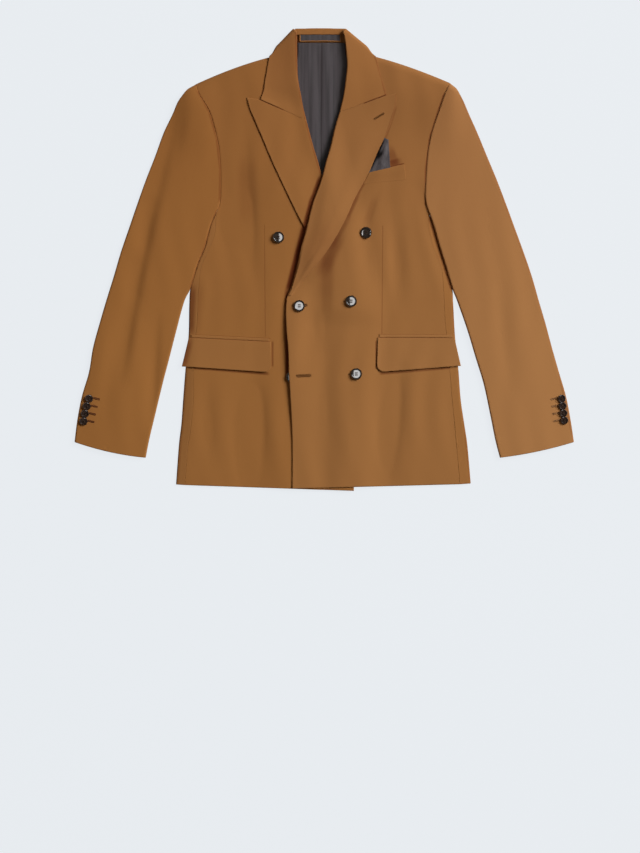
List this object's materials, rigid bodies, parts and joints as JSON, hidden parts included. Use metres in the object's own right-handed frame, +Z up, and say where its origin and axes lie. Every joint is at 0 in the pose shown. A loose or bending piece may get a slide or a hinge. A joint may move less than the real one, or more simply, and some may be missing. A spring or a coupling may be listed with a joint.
{
  "type": "double breasted blazer",
  "caption": "Tailored wool jacket laid flat on its back, peak lapels, left front buttoned over right, flap pockets, welt pocket with a square.",
  "frame": {"origin": "middle of the bounding box in plan, on the surface that the garment lies on", "axes": "+X towards the wearer's left sleeve, +Y from hem to collar, +Z up from the surface"},
  "size_m": [0.8594, 0.796, 0.0198],
  "materials": {
    "wool": "matte twill",
    "lining": "soft sheen",
    "button": "polished, dished"
  },
  "bodies": {
    "root": {"back_left": "wool", "back_right": "wool", "side_panel_left": "wool", "side_panel_right": "wool", "front_left": "wool", "front_right": "wool", "lapel_left": "wool", "lapel_right": "wool", "collar": "wool", "collar_stand": "wool", "neck_band": "lining", "neck_piping": "wool", "back_lining": "lining", "sleeve_left_top": "wool", "sleeve_left_under": "wool", "sleeve_right_top": "wool", "sleeve_right_under": "wool", "flap_left": "wool", "flap_right": "wool", "pocket_jet_left": "wool", "pocket_jet_right": "wool", "breast_welt": "wool", "pocket_square": "lining", "front_button_1": "button", "front_button_2": "button", "front_button_3": "button", "front_button_4": "button", "front_button_5": "button", "front_button_6": "button", "cuff_button_left_1": "button", "cuff_button_left_2": "button", "cuff_button_left_3": "button", "cuff_button_left_4": "button", "cuff_button_right_1": "button", "cuff_button_right_2": "button", "cuff_button_right_3": "button", "cuff_button_right_4": "button"}
  },
  "joints": []
}
